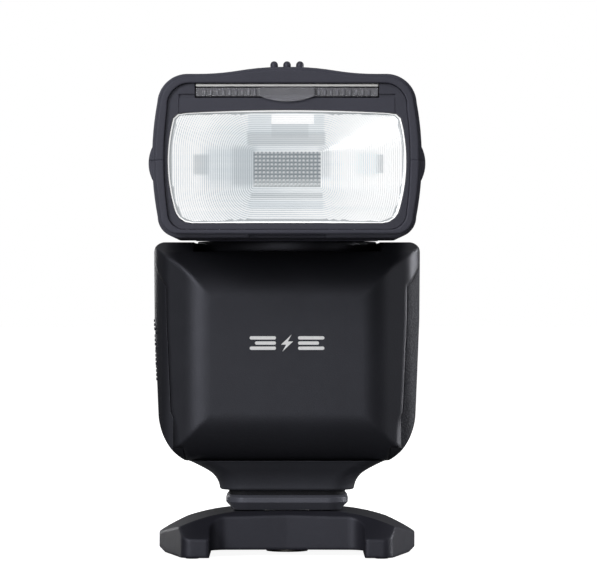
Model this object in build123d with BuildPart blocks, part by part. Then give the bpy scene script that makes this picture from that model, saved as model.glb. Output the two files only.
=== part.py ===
"""Speedlight flash standing on its mini stand.

+X is to the right of someone facing the lens, +Y runs from the lens to the display, +Z is up.
Z = 0 is the surface that the stand rests on, and X = Y = 0 is the axis of the accessory shoe.
Lengths are in millimetres.
"""

import math
import os

from build123d import *

os.makedirs("parts", exist_ok=True)

# ---------------------------------------------------------------- driving dimensions
WALL = 1.6  # moulded case wall
GAP = 0.15  # visible joint between two covers
FIT = 0.05  # radial running clearance

STAND_TOP = 12.9  # height of the stand's deck
STAND_FLOOR = 0.35  # underside of the stand's paws, above the rubber feet's soles
SHOE_FLOOR = 9.0
SHOE_RAIL = 11.35  # underside of the shoe's rails
BUSH_MOUTH = 0.5  # lower end of the tripod bush
BUSH_R = 2.55  # bore before tapping 1/4 inch, 20 threads per inch

FOOT_BOTTOM = 13.1  # underside of the foot block, just above the stand's deck
FOOT_TOP = 17.4
NECK_BOTTOM = 18.9
BODY_BOTTOM = 27.5
BODY_TOP = 89.6
DECK_Z = 86.9  # floor of the turret's recess
BODY_FRONT = -31.0
BODY_REAR = 33.0
SIDE_BAND = 3.6  # depth of the side covers, seen from the front
BAND_FRONT, BAND_REAR, BAND_TOP = -27.0, 22.25, 83.65  # their front, rear and top edges

SWIVEL_Y = 4.0
TURRET_R = 26.0
TURRET_TOP = 90.0
CHIN_Z = 89.8  # underside of the head's lip, just clear of the body's top
HUB_R = 12.0

PIVOT_Y = 16.0
PIVOT_Z = 111.0  # tilt axis, and the parting line of the head's two cases
DRUM_R = 18.6
DRUM_HALF = 19.6
CHEEK_INNER = 20.2
AXLE_R = 5.0

HEAD_FRONT = -70.0
HEAD_REAR_R = 20.4
STEP_Y = -67.0  # groove behind the rim of the front opening
LENS_FACE = -68.8


def save(piece, name):
    """Label a finished piece and write its STEP."""
    piece.part.label = name
    export_step(piece.part, f"parts/{name}.step")


def at_y(y):
    """Front-view plane (X right, Z up) at depth y. extrude(amount=a - b) from at_y(a) ends at depth b."""
    return Plane.XZ.offset(-y)


def corners(sketch, x, y):
    """The sketch's vertices at (x, y) and at (-x, y)."""
    return [v for v in sketch.vertices() if abs(abs(v.X) - x) < 0.01 and abs(v.Y - y) < 0.01]


def block(x0, x1, y0, y1, z0, z1, mode=Mode.ADD):
    """A box between two opposite corners, in the current part."""
    with Locations(((x0 + x1) / 2, (y0 + y1) / 2, (z0 + z1) / 2)):
        Box(x1 - x0, y1 - y0, z1 - z0, mode=mode)


def rod_x(x0, x1, y, z, r, mode=Mode.ADD):
    """A cylinder along X, in the current part."""
    with Locations(Location(((x0 + x1) / 2, y, z), (0, 90, 0))):
        Cylinder(r, abs(x1 - x0), mode=mode)


def rod_y(x, y0, y1, z, r, mode=Mode.ADD):
    """A cylinder along Y, in the current part."""
    with Locations(Location((x, (y0 + y1) / 2, z), (90, 0, 0))):
        Cylinder(r, y1 - y0, mode=mode)


def rod_z(x, y, z0, z1, r, mode=Mode.ADD):
    """A cylinder along Z, in the current part."""
    with Locations((x, y, (z0 + z1) / 2)):
        Cylinder(r, z1 - z0, mode=mode)


# ---------------------------------------------------------------- mini stand
PAW_X, PAW_FRONT = 29.5, -27.0  # outer front corner of a paw
RECESS_X, RECESS_Y = 22.0, -17.2  # the front recess between the paws

with BuildPart() as stand_base:
    with BuildSketch(Plane.XY.offset(STAND_FLOOR)) as plan:
        with BuildLine():
            Polyline((0, 27), (24, 27), (37.2, 13), (37.2, 4), (PAW_X, PAW_FRONT), (RECESS_X, PAW_FRONT),
                     (RECESS_X, RECESS_Y - 0.8), (0, RECESS_Y))
            mirror(about=Plane.YZ)
        make_face()
        for x, y, radius in ((24, 27, 9), (37.2, 13, 9), (37.2, 4, 14), (PAW_X, PAW_FRONT, 3.2),
                             (RECESS_X, PAW_FRONT, 0.8), (RECESS_X, RECESS_Y - 0.8, 5.0)):
            fillet(corners(plan, x, y), radius)
    extrude(amount=20)
    # the deck is crowned across, and falls away to the paws and to the back
    with BuildSketch(Plane.XZ) as crown:
        with BuildLine():
            Line((0, STAND_TOP), (15, STAND_TOP - 0.2))
            ThreePointArc((15, STAND_TOP - 0.2), (25, 10.8), (37.4, 5.4))
            Line((37.4, 5.4), (38.2, 2.0))
            Line((38.2, 2.0), (34.5, 0))
            Line((34.5, 0), (0, 0))
            mirror(about=Plane.YZ)
        make_face()
    extrude(amount=60, both=True, mode=Mode.INTERSECT)
    with BuildSketch(Plane.YZ) as fall:
        with BuildLine():
            Polyline((-27.2, 0), (-27.2, 5.4), (-17.4, 11.6), (-14, STAND_TOP + 1), (9, STAND_TOP + 1),
                     (15, STAND_TOP - 0.8), (27.2, 7.0), (27.2, 0), (-27.2, 0))
        make_face()
    extrude(amount=60, both=True, mode=Mode.INTERSECT)
    # arch between the paws, and the ribbed pockets underneath
    with BuildSketch(Plane.XY):
        Rectangle(2 * RECESS_X, 60)
    extrude(amount=2.0, mode=Mode.SUBTRACT)
    with BuildSketch(Plane.XY.offset(2.0)):
        with Locations((0, 3)):
            with GridLocations(24.0, 12.5, 2, 3):
                Rectangle(9.5, 10.5)
    extrude(amount=4.5, mode=Mode.SUBTRACT)
    # shoe: undercut slot, open at the back
    with BuildSketch(Plane.XY.offset(SHOE_FLOOR)):
        with Locations((0, -9.6)):
            Rectangle(18.8, 50, align=(Align.CENTER, Align.MIN))
    extrude(amount=SHOE_RAIL - SHOE_FLOOR, mode=Mode.SUBTRACT)
    with BuildSketch(Plane.XY.offset(SHOE_RAIL)):
        with Locations((0, -9.6)):
            Rectangle(12.8, 50, align=(Align.CENTER, Align.MIN))
    extrude(amount=5, mode=Mode.SUBTRACT)
    # groove for the contacts, lock pin hole at the front, and the pin's lead-in at the back
    with BuildSketch(Plane.XY.offset(8.2)):
        with Locations((0, -5.6)):
            Rectangle(11.4, 50, align=(Align.CENTER, Align.MIN))
    extrude(amount=1.0, mode=Mode.SUBTRACT)
    with BuildSketch(Plane.XY.offset(7.2)):
        with Locations((0, 11)):
            Rectangle(4.0, 20, align=(Align.CENTER, Align.MIN))
        with Locations((0, -7.2)):
            Circle(1.5)
    extrude(amount=2.0, mode=Mode.SUBTRACT)
    # seat for the tripod bush
    with BuildSketch(Plane.XY.offset(2.0)):
        Circle(4.6)
    extrude(amount=5.6, mode=Mode.SUBTRACT)
    # sockets for the rubber feet
    with BuildSketch(Plane.XY.offset(STAND_FLOOR)):
        with Locations((-26.8, -23.0), (26.8, -23.0), (-27.5, 17.5), (27.5, 17.5)):
            Circle(1.9)
    extrude(amount=0.9, mode=Mode.SUBTRACT)
save(stand_base, "stand_base")

with BuildPart() as tripod_bush:
    with BuildSketch(Plane.XY.offset(2.0)):
        RegularPolygon(4.55, 8)
    extrude(amount=5.6)
    with BuildSketch(Plane.XY.offset(BUSH_MOUTH)):
        Circle(6.0)
    extrude(amount=2.0 - BUSH_MOUTH)
    with BuildSketch(Plane.XY.offset(BUSH_MOUTH)):
        Circle(BUSH_R)
    extrude(amount=8, mode=Mode.SUBTRACT)
save(tripod_bush, "stand_tripod_bush")

with BuildPart() as stand_feet:
    with BuildSketch(Plane.XY):
        with Locations((-26.8, -23.0), (26.8, -23.0), (-27.5, 17.5), (27.5, 17.5)):
            Circle(1.85)
    extrude(amount=STAND_FLOOR + 0.9)
save(stand_feet, "stand_rubber_feet")

# ---------------------------------------------------------------- foot of the flash
PLATE_BOTTOM, PLATE_TOP = 9.25, 11.2
CONTACTS = ((-4.2, -3.2), (4.2, -3.2), (-4.2, 3.6), (4.2, 3.6))
LOCK_PIN_Y = -7.2
FOOT_SCREWS = ((-4.3, 7.2), (4.3, 7.2), (-4.3, -6.6), (4.3, -6.6))

with BuildPart() as foot_plate:
    with BuildSketch(Plane.XY.offset(PLATE_BOTTOM)) as sole:
        Rectangle(18.5, 18.2)
        chamfer(sole.vertices(), 0.8)
    extrude(amount=PLATE_TOP - PLATE_BOTTOM)
    with BuildSketch(Plane.XY.offset(PLATE_TOP)):
        Rectangle(12.3, 17.6)
    extrude(amount=3.3)
    with BuildSketch(Plane.XY.offset(PLATE_BOTTOM)):
        Circle(1.45)
        with Locations(*CONTACTS):
            Circle(1.0)
        with Locations((0, LOCK_PIN_Y)):
            Circle(1.1 + FIT)
        with Locations(*FOOT_SCREWS):
            Circle(0.85)
    extrude(amount=6, mode=Mode.SUBTRACT)
    with BuildSketch(Plane.XY.offset(PLATE_BOTTOM)):
        with Locations(*FOOT_SCREWS):
            Circle(1.6)
    extrude(amount=0.9, mode=Mode.SUBTRACT)
save(foot_plate, "foot_plate")

with BuildPart() as foot_screws:
    with BuildSketch(Plane.XY.offset(PLATE_BOTTOM)):
        with Locations(*FOOT_SCREWS):
            Circle(1.55)
    extrude(amount=0.85)
    with BuildSketch(Plane.XY.offset(PLATE_BOTTOM)):
        with Locations(*FOOT_SCREWS):
            Circle(0.8)
    extrude(amount=6.4)
    with BuildSketch(Plane.XY.offset(PLATE_BOTTOM)):
        for angle in (0, 90):
            with Locations(*[Location((x, y, 0), (0, 0, angle)) for x, y in FOOT_SCREWS]):
                Rectangle(1.8, 0.4)
    extrude(amount=0.5, mode=Mode.SUBTRACT)
save(foot_screws, "foot_screws")

LEVER_Y = 9.0  # lock lever's pivot
LEVER_REST = -20.0  # degrees off centre when the lock is open

with BuildPart() as foot_block:
    with BuildSketch(Plane.XY.offset(15.3)):
        with Locations((0, 0.5)):
            RectangleRounded(35.0, 31.0, 6.0)
    extrude(amount=1.3)
    extrude(foot_block.faces().sort_by(Axis.Z)[-1], amount=FOOT_TOP - 16.6, taper=42)
    extrude(foot_block.faces().sort_by(Axis.Z)[0], amount=15.3 - FOOT_BOTTOM, taper=43)
    # seat of the plate's stem
    with BuildSketch(Plane.XY.offset(FOOT_BOTTOM)):
        Rectangle(12.4, 17.7)
    extrude(amount=1.45, mode=Mode.SUBTRACT)
    # pocket that the lock lever swings in, open at the back
    with BuildSketch(Plane.XY.offset(14.7)):
        with BuildLine():
            half = math.radians(46)
            reach = 22.0
            left = (-reach * math.sin(half), LEVER_Y + reach * math.cos(half))
            right = (reach * math.sin(half), LEVER_Y + reach * math.cos(half))
            Polyline((0, LEVER_Y - 2), left, right, (0, LEVER_Y - 2))
        make_face()
        with Locations((0, LEVER_Y)):
            Circle(3.4)
    extrude(amount=1.8, mode=Mode.SUBTRACT)
    with BuildSketch(Plane.XY.offset(14.5)):
        with Locations((0, LEVER_Y)):
            Circle(1.5)
    extrude(amount=2.2)
    with BuildSketch(Plane.XY.offset(FOOT_BOTTOM + 1.4)):
        with Locations(*FOOT_SCREWS):
            Circle(0.85)
        Circle(1.45)
        with Locations(*CONTACTS):
            Circle(1.0)
    extrude(amount=1.4, mode=Mode.SUBTRACT)
    # lock pin's guide, and the well that its head works in
    with BuildSketch(Plane.XY.offset(FOOT_BOTTOM)):
        with Locations((0, LOCK_PIN_Y)):
            Circle(1.1 + FIT)
    extrude(amount=4.5, mode=Mode.SUBTRACT)
    with BuildSketch(Plane.XY.offset(14.6)):
        with Locations((0, LOCK_PIN_Y)):
            Circle(2.4)
    extrude(amount=4, mode=Mode.SUBTRACT)
save(foot_block, "foot_block")

with BuildPart() as contact_pins:
    with BuildSketch(Plane.XY.offset(8.75)):
        Circle(1.35)
        with Locations(*CONTACTS):
            Circle(0.85)
    extrude(amount=6.3)
save(contact_pins, "foot_contact_pins")

with BuildPart() as lock_pin:
    with BuildSketch(Plane.XY.offset(9.4)):
        with Locations((0, LOCK_PIN_Y)):
            Circle(1.1)
    extrude(amount=7.4)
    with BuildSketch(Plane.XY.offset(16.5)):
        with Locations((0, LOCK_PIN_Y)):
            Circle(2.2)
    extrude(amount=0.8)
save(lock_pin, "lock_pin")

with BuildPart() as lock_lever:
    with BuildSketch(Plane.XY.offset(14.85)):
        with Locations(Location((0, LEVER_Y, 0), (0, 0, LEVER_REST))):
            Circle(3.0)
            with Locations((0, 5.2)):
                Rectangle(4.4, 10.4)
            Circle(1.5 + FIT, mode=Mode.SUBTRACT)
    extrude(amount=1.5)
    with BuildSketch(Plane.XY.offset(13.8)):
        with Locations(Location((0, LEVER_Y, 0), (0, 0, LEVER_REST))):
            with Locations((0, 11.4)):
                RectangleRounded(9.0, 3.6, 1.2)
    extrude(amount=4.4)
save(lock_lever, "lock_lever")

with BuildPart() as foot_seal:
    with BuildSketch(Plane.XY.offset(FOOT_TOP)):
        with Locations((0, 0.5)):
            RectangleRounded(33.4, 29.4, 5.2)
    extrude(amount=NECK_BOTTOM - FOOT_TOP)
    with BuildSketch(Plane.XY.offset(FOOT_TOP)):
        with Locations((0, 3)):
            Circle(6)
    extrude(amount=2, mode=Mode.SUBTRACT)
save(foot_seal, "foot_seal")

# ---------------------------------------------------------------- neck under the body
RELEASE_X, RELEASE_Z = 8.0, 22.6  # lock release button, on the back of the neck
NECK_SECTIONS = ((NECK_BOTTOM, 38.4, 36.0), (20.4, 38.9, 36.4), (22.6, 41.0, 38.2), (24.8, 46.2, 41.6),
                 (26.4, 52.0, 44.6), (BODY_BOTTOM, 57.0, 47.0))

with BuildPart() as neck:
    for z, width, depth in NECK_SECTIONS:
        with BuildSketch(Plane.XY.offset(z)):
            with Locations((0, 1.0)):
                RectangleRounded(width, depth, 7.0)
    loft()
    fillet(neck.faces().sort_by(Axis.Z)[0].edges(), 0.7)
    with BuildSketch(Plane.XY.offset(NECK_BOTTOM + 2.0)):
        with Locations((0, 1.0)):
            RectangleRounded(33.0, 30.0, 5.0)
    extrude(amount=10, mode=Mode.SUBTRACT)
    with BuildSketch(Plane.XY.offset(NECK_BOTTOM)):
        with Locations((0, 3)):
            Circle(6)
    extrude(amount=3, mode=Mode.SUBTRACT)
    with BuildSketch(at_y(10)):
        with Locations((RELEASE_X, RELEASE_Z)):
            Circle(2.4 + 0.1)
    extrude(amount=-20, mode=Mode.SUBTRACT)
save(neck, "neck_housing")

with BuildPart() as release_button:
    with BuildSketch(at_y(15.0)):
        with Locations((RELEASE_X, RELEASE_Z)):
            Circle(2.4)
    extrude(amount=-5.9)
    fillet(release_button.faces().sort_by(Axis.Y)[-1].edges(), 0.5)
    with BuildSketch(at_y(14.2)):
        with Locations((RELEASE_X, RELEASE_Z)):
            Rectangle(6.4, 3.2)
    extrude(amount=-1.6)
save(release_button, "lock_release_button")


# ---------------------------------------------------------------- covers of the body
def body_envelope(inset):
    """Outside of the lower body, or its inside when inset by the wall."""
    with BuildPart() as shape:
        with BuildSketch(Plane.XZ) as outline:
            with BuildLine():
                Line((0, BODY_BOTTOM), (28.8, BODY_BOTTOM))
                ThreePointArc((28.8, BODY_BOTTOM), (33.9, 32.8), (36.4, 40.5))
                Line((36.4, 40.5), (37.6, 68))
                Line((37.6, 68), (37.8, 86.4))
                ThreePointArc((37.8, 86.4), (37.0, 88.6), (34.8, BODY_TOP))
                Line((34.8, BODY_TOP), (0, BODY_TOP))
                mirror(about=Plane.YZ)
            make_face()
            if inset:
                offset(amount=-inset)
        extrude(amount=60, both=True)
        with BuildSketch(Plane.XY) as plan:
            with BuildLine():
                Polyline((0, BODY_FRONT), (25.2, BODY_FRONT), (34.6, -25.6), (37.8, -21.0),
                         (37.8, 24.0), (29.0, BODY_REAR), (0, BODY_REAR))
                mirror(about=Plane.YZ)
            make_face()
            fillet(corners(plan, 25.2, BODY_FRONT), 14.0)
            fillet(corners(plan, 34.6, -25.6), 6.0)
            fillet(corners(plan, 37.8, -21.0), 8.0)
            fillet(corners(plan, 37.8, 24.0) + corners(plan, 29.0, BODY_REAR), 6.0)
            if inset:
                offset(amount=-inset)
        extrude(amount=100, both=True, mode=Mode.INTERSECT)
        with BuildSketch(Plane.YZ) as side:
            with BuildLine():
                Line((-19, BODY_BOTTOM), (28.5, BODY_BOTTOM))
                ThreePointArc((28.5, BODY_BOTTOM), (31.7, 28.8), (BODY_REAR, 32))
                Line((BODY_REAR, 32), (BODY_REAR, 84))
                ThreePointArc((BODY_REAR, 84), (31.6, 87.8), (28, BODY_TOP))
                Line((28, BODY_TOP), (-18.0, BODY_TOP))
                Line((-18.0, BODY_TOP), (-24.5, 86.6))
                TangentArc((BODY_FRONT, 74), (-24.5, 86.6), tangent=(0, 1))
                Line((BODY_FRONT, 74), (BODY_FRONT, 41))
                TangentArc((BODY_FRONT, 41), (-19, BODY_BOTTOM), tangent=(0, -1))
            make_face()
            if inset:
                offset(amount=-inset)
        extrude(amount=60, both=True, mode=Mode.INTERSECT)
    return shape.part


def side_band(gap):
    """The -X side region of the body, for the battery door, or a little larger for its opening."""
    with BuildPart() as band:
        with BuildSketch(Plane.XZ):
            with BuildLine():
                Line((-28.8 + gap, 20), (-28.8 + gap, BODY_BOTTOM + 0.8))
                ThreePointArc((-28.8 + gap, BODY_BOTTOM + 0.8), (-30.2 + gap, 34.2),
                              (-36.4 + SIDE_BAND + gap, 41.5))
                Polyline((-36.4 + SIDE_BAND + gap, 41.5), (-37.6 + SIDE_BAND + gap, 68),
                         (-37.8 + SIDE_BAND + gap, 95), (-45, 95), (-45, 20), (-28.8 + gap, 20))
            make_face()
        extrude(amount=60, both=True)
        with BuildSketch(Plane.YZ):
            with BuildLine():
                Polyline((BAND_FRONT, 20), (BAND_FRONT, BAND_TOP - 8 + gap),
                         (BAND_FRONT + 7.5, BAND_TOP + gap), (BAND_REAR + gap, BAND_TOP + gap),
                         (BAND_REAR + gap, 20), (BAND_FRONT, 20))
            make_face()
        extrude(amount=60, both=True, mode=Mode.INTERSECT)
    return band.part


outside = body_envelope(0)
inside = body_envelope(WALL)
door_zone = side_band(GAP)
cover_zone = door_zone.mirror(Plane.YZ)
SPLIT_Y = 3.0  # joint between the front and the rear cover

# turret recess in the top of the body, open to the front between the shoulders
with BuildPart() as turret_recess:
    with BuildSketch(Plane.XY.offset(DECK_Z)):
        with Locations((0, SWIVEL_Y)):
            Circle(TURRET_R + 0.5)
        with Locations((0, SWIVEL_Y)):
            Rectangle(2 * TURRET_R + 1.0, 60, align=(Align.CENTER, Align.MAX))
    extrude(amount=20)

with BuildPart() as hollow:
    add(inside)
    block(-33, 33, -24, 31, DECK_Z - WALL, DECK_Z + 1, mode=Mode.SUBTRACT)

with BuildPart() as shell:
    add(outside)
    add(hollow.part, mode=Mode.SUBTRACT)
    add(turret_recess.part, mode=Mode.SUBTRACT)
    rod_z(0, SWIVEL_Y, 80, 95, HUB_R + 2, mode=Mode.SUBTRACT)
    block(-16, 16, -14, 17, 20, 30, mode=Mode.SUBTRACT)  # cable way into the neck
    add(door_zone, mode=Mode.SUBTRACT)
    add(cover_zone, mode=Mode.SUBTRACT)

# the door's edge is rolled into a barrel, and its pin runs in two lugs of the rear cover
HINGE_X, HINGE_Y = -35.6, 22.6
BARREL_R = 1.6
PIN_R = 0.8
BARREL_Z = (46.0, 79.3)
LUGS = ((39.0, 41.2), (79.8, 81.6))
DOOR_TRAVEL = 4.0

with BuildPart() as front_cover:
    add(shell.part)
    block(-50, 50, -50, SPLIT_Y - GAP / 2, 0, 120, mode=Mode.INTERSECT)
save(front_cover, "body_front_cover")

# back: display, four function buttons, dial and set button, two menu buttons, power lever, test button
WINDOW_Z = 72.8
FUNCTION_X = (-16.2, -5.4, 5.4, 16.2)
FUNCTION_Z = 57.6
DIAL_Z = 43.0
DIAL_R, POST_R, SET_R = 10.4, 6.1, 5.2
MENU_X, MENU_Z = 19.5, 49.2
POWER_X, TEST_X, CORNER_Z = -20.5, 20.5, 39.0
CASE_SCREWS = ((-25.4, 33.4), (25.4, 33.4))

with BuildPart() as rear_cover:
    add(shell.part)
    block(-50, 50, SPLIT_Y + GAP / 2, 50, 0, 120, mode=Mode.INTERSECT)
    # the hinge side is hollowed out round the barrel, so that the door's edge can turn in
    rod_z(HINGE_X, HINGE_Y, 26, 84, BARREL_R + 0.9, mode=Mode.SUBTRACT)
    block(HINGE_X - 4, HINGE_X - 0.6, HINGE_Y, HINGE_Y + 2.6, 26, 84, mode=Mode.SUBTRACT)
    for z0, z1 in LUGS:
        rod_z(HINGE_X, HINGE_Y, z0, z1, BARREL_R)
        block(HINGE_X - 0.6, HINGE_X + 1.6, HINGE_Y, HINGE_Y + 3.6, z0, z1)
    rod_z(HINGE_X, HINGE_Y, 36, 86, PIN_R + FIT, mode=Mode.SUBTRACT)
    with BuildSketch(at_y(BODY_REAR - 3.6)):
        with Locations((0, DIAL_Z)):
            Circle(DIAL_R + 1.6)
    extrude(amount=-3.0)
    with BuildSketch(at_y(BODY_REAR + 1)):
        with Locations((0, DIAL_Z)):
            Circle(DIAL_R + 0.3)
            Circle(POST_R, mode=Mode.SUBTRACT)
    extrude(amount=3.6, mode=Mode.SUBTRACT)
    with BuildSketch(at_y(BODY_REAR + 1)):
        with Locations((0, DIAL_Z)):
            Circle(SET_R + 0.15)
        with Locations((0, WINDOW_Z)):
            Rectangle(41, 19)
        with Locations(*[(x, FUNCTION_Z) for x in FUNCTION_X]):
            SlotOverall(8.3, 4.5)
        with Locations((-MENU_X, MENU_Z), (MENU_X, MENU_Z)):
            SlotOverall(7.3, 4.5)
        with Locations((POWER_X, CORNER_Z)):
            Circle(3.0)
        with Locations((TEST_X, CORNER_Z)):
            Circle(4.15)
        with Locations(*CASE_SCREWS):
            Circle(1.25)
    extrude(amount=8, mode=Mode.SUBTRACT)
    with BuildSketch(at_y(BODY_REAR + 1)):
        with Locations((0, WINDOW_Z)):
            RectangleRounded(44.2, 21.8, 1.6)
    extrude(amount=2.0, mode=Mode.SUBTRACT)
save(rear_cover, "body_rear_cover")

with BuildPart() as case_screws:
    with BuildSketch(at_y(BODY_REAR - 0.3)):
        with Locations(*CASE_SCREWS):
            Circle(1.2)
    extrude(amount=7)
    with BuildSketch(at_y(BODY_REAR - 0.3)):
        for angle in (0, 90):
            with Locations(*[Location((x, z, 0), (0, 0, angle)) for x, z in CASE_SCREWS]):
                Rectangle(1.5, 0.35)
    extrude(amount=0.5, mode=Mode.SUBTRACT)
save(case_screws, "body_screws")

# ---------------------------------------------------------------- side cover and terminal flap
FLAP_Y0, FLAP_Y1, FLAP_Z0, FLAP_Z1 = -13.1, 0.2, 43.9, 68.1
FLAP_HINGE_X, FLAP_HINGE_Y = 36.2, -0.6

with BuildPart() as door_skin:
    add(outside)
    add(inside, mode=Mode.SUBTRACT)
    add(side_band(0), mode=Mode.INTERSECT)

with BuildPart() as side_cover:
    add(door_skin.part.mirror(Plane.YZ))
    block(30, 40, FLAP_Y0 - 0.2, FLAP_Y1 + 0.9, FLAP_Z0 - 0.2, FLAP_Z1 + 0.2, mode=Mode.SUBTRACT)
    rod_z(FLAP_HINGE_X, FLAP_HINGE_Y, FLAP_Z0 - 1.0, FLAP_Z1 + 1.0, 0.6, mode=Mode.SUBTRACT)
save(side_cover, "body_side_cover")

with BuildPart() as flap:
    add(outside)
    add(body_envelope(1.4), mode=Mode.SUBTRACT)
    block(30, 40, FLAP_Y0, FLAP_Y1, FLAP_Z0, FLAP_Z1, mode=Mode.INTERSECT)
    rod_z(FLAP_HINGE_X, FLAP_HINGE_Y, FLAP_Z0, FLAP_Z1, 0.9)
    rod_z(FLAP_HINGE_X, FLAP_HINGE_Y, FLAP_Z0 - 0.8, FLAP_Z1 + 0.8, 0.5)
save(flap, "terminal_flap")

with BuildPart() as sockets:
    block(31.8, 33.2, -15.0, 1.6, 42.5, 69.5)
    for z, radius in ((62.5, 3.3), (52.5, 2.4)):
        rod_x(27.6, 34.4, -6.4, z, radius + 0.9)
        rod_x(28.8, 35.0, -6.4, z, radius, mode=Mode.SUBTRACT)
        rod_x(28.0, 33.6, -6.4, z, 0.6)
save(sockets, "terminal_sockets")

# ---------------------------------------------------------------- battery door, cells and their compartment
# grip of the door: four slanting rows of four pips, a quarter of a millimetre proud
with BuildPart() as pips:
    spots = [(row, step) for row in range(4) for step in range(4)]
    with Locations(*[Location((-37.2 + 0.62 * step, -19.6 - 0.62 * step, 67.3 - 4.35 * row - 1.15 * step),
                              (0, 90, 45)) for row, step in spots]):
        Cylinder(0.42, 4)
    add(body_envelope(-0.25), mode=Mode.INTERSECT)

with BuildPart() as battery_door:
    add(door_skin.part)
    for (z0, z1), above in zip(LUGS, (DOOR_TRAVEL, 20)):
        rod_z(HINGE_X, HINGE_Y, z0 - 0.3, z1 + above + 0.3, BARREL_R + 1.0, mode=Mode.SUBTRACT)
    rod_z(HINGE_X, HINGE_Y, 36, LUGS[0][0], PIN_R + 0.4, mode=Mode.SUBTRACT)
    rod_z(HINGE_X, HINGE_Y, *BARREL_Z, BARREL_R)
    rod_z(HINGE_X, HINGE_Y, 36, 86, PIN_R + FIT, mode=Mode.SUBTRACT)
    add(pips.part)
    add(inside, mode=Mode.SUBTRACT)
save(battery_door, "battery_door")

with BuildPart() as door_pin:
    rod_z(HINGE_X, HINGE_Y, 38.0, 85.0, PIN_R)
save(door_pin, "battery_door_pin")

CELL_R = 7.15
CELLS = [(x, y) for x in (-22.0, -7.3) for y in (-6.4, 8.3)]
CELL_Z0, CELL_Z1 = 31.4, 80.4
BAY = (-30.4, 0.4, -14.1, 16.0, 30.4, 81.4)

with BuildPart() as bay:
    block(BAY[0], BAY[1] + 1.2, BAY[2] - 1.2, BAY[3] + 1.0, BAY[4] - 1.0, BAY[5] + 1.0)
    block(BAY[0] - 5, BAY[1], *BAY[2:], mode=Mode.SUBTRACT)
    add(body_envelope(WALL + 0.3), mode=Mode.INTERSECT)
save(bay, "battery_compartment")

with BuildPart() as cells:
    for index, (x, y) in enumerate(CELLS):
        up = (index + index // 2) % 2 == 0
        rod_z(x, y, CELL_Z0, CELL_Z1, CELL_R)
        nub = (CELL_Z1, CELL_Z1 + 0.7) if up else (CELL_Z0 - 0.7, CELL_Z0)
        rod_z(x, y, *nub, 2.6)
    edges = cells.edges().filter_by(lambda e: e.length > 40)
    fillet(edges.filter_by(GeomType.CIRCLE), 0.6)
save(cells, "aa_cells")

with BuildPart() as contacts:
    for x, y in CELLS:
        block(x - 4.5, x + 4.5, y - 4.5, y + 4.5, BAY[4], BAY[4] + 0.3)
        block(x - 4.5, x + 4.5, y - 4.5, y + 4.5, BAY[5] - 0.3, BAY[5])
save(contacts, "battery_contacts")

# ---------------------------------------------------------------- display, boards and power parts
with BuildPart() as window:
    with BuildSketch(at_y(BODY_REAR - 1.0)):
        with Locations((0, WINDOW_Z)):
            RectangleRounded(44.0, 21.6, 1.5)
    extrude(amount=-1.0)
save(window, "display_window")

BOARD_BACK, BOARD_FACE = 26.8, 28.4
with BuildPart() as lcd:
    block(-20.2, 20.2, BOARD_FACE, BODY_REAR - 1.1, WINDOW_Z - 9.2, WINDOW_Z + 9.2)
save(lcd, "display_module")

with BuildPart() as keypad:
    block(-27.0, 27.0, BOARD_BACK, BOARD_FACE, 35.0, 84.0)
    small_buttons = [(x, FUNCTION_Z) for x in FUNCTION_X]
    small_buttons += [(-MENU_X, MENU_Z), (MENU_X, MENU_Z), (TEST_X, CORNER_Z)]
    for x, z in small_buttons:
        block(x - 2.2, x + 2.2, BOARD_FACE, BOARD_FACE + 0.2, z - 1.6, z + 1.6)
save(keypad, "keypad_board")

with BuildPart() as main_board:
    block(-28.0, 30.0, 18.6, 20.2, 33.0, 81.0)
    chips = ((-10, 20.2, 60, 12, 12), (12, 20.2, 70, 8, 8), (10, 20.2, 48, 16, 6), (-14, 20.2, 42, 9, 5))
    for x, y0, z, w, h in chips:
        block(x, x + w, y0, y0 + 1.4, z, z + h)
save(main_board, "main_board")

with BuildPart() as capacitor:
    rod_z(15.0, -15.2, 37.0, 77.0, 12.0)
    fillet(capacitor.edges().filter_by(GeomType.CIRCLE).group_by(Axis.Z)[-1], 1.5)
save(capacitor, "main_capacitor")

with BuildPart() as transformer:
    block(8.0, 28.0, 3.2, 17.6, 34.0, 37.0)
    block(8.0, 28.0, 3.2, 17.6, 47.0, 50.0)
    rod_z(18.0, 10.4, 36.0, 48.0, 6.2)
save(transformer, "charging_transformer")

# ---------------------------------------------------------------- controls on the back
with BuildPart() as dial:
    with BuildSketch(at_y(30.7)):
        with Locations((0, DIAL_Z)):
            Circle(DIAL_R)
            Circle(POST_R + 0.3, mode=Mode.SUBTRACT)
            with PolarLocations(DIAL_R, 40):
                Circle(0.32, mode=Mode.SUBTRACT)
    extrude(amount=-3.6)
save(dial, "control_dial")

with BuildPart() as set_button:
    rod_y(0, 29.3, 34.4, DIAL_Z, SET_R)
    fillet(set_button.edges().group_by(Axis.Y)[-1], 0.5)
save(set_button, "set_button")


def key(x, z, width, height, name):
    """A sprung rear button: an oval cap, held behind the cover by its flange."""
    with BuildPart() as cap:
        with BuildSketch(at_y(29.3)):
            with Locations((x, z)):
                SlotOverall(width + 1.4, height + 0.9)
        extrude(amount=-1.5)
        with BuildSketch(at_y(29.3)):
            with Locations((x, z)):
                SlotOverall(width, height)
        extrude(amount=-4.4)
        fillet(cap.faces().sort_by(Axis.Y)[-1].edges(), 0.4)
    save(cap, name)


for number, x in enumerate(FUNCTION_X, 1):
    key(x, FUNCTION_Z, 8.0, 4.2, f"function_button_{number}")
key(-MENU_X, MENU_Z, 7.0, 4.2, "link_button")
key(MENU_X, MENU_Z, 7.0, 4.2, "menu_button")

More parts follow.
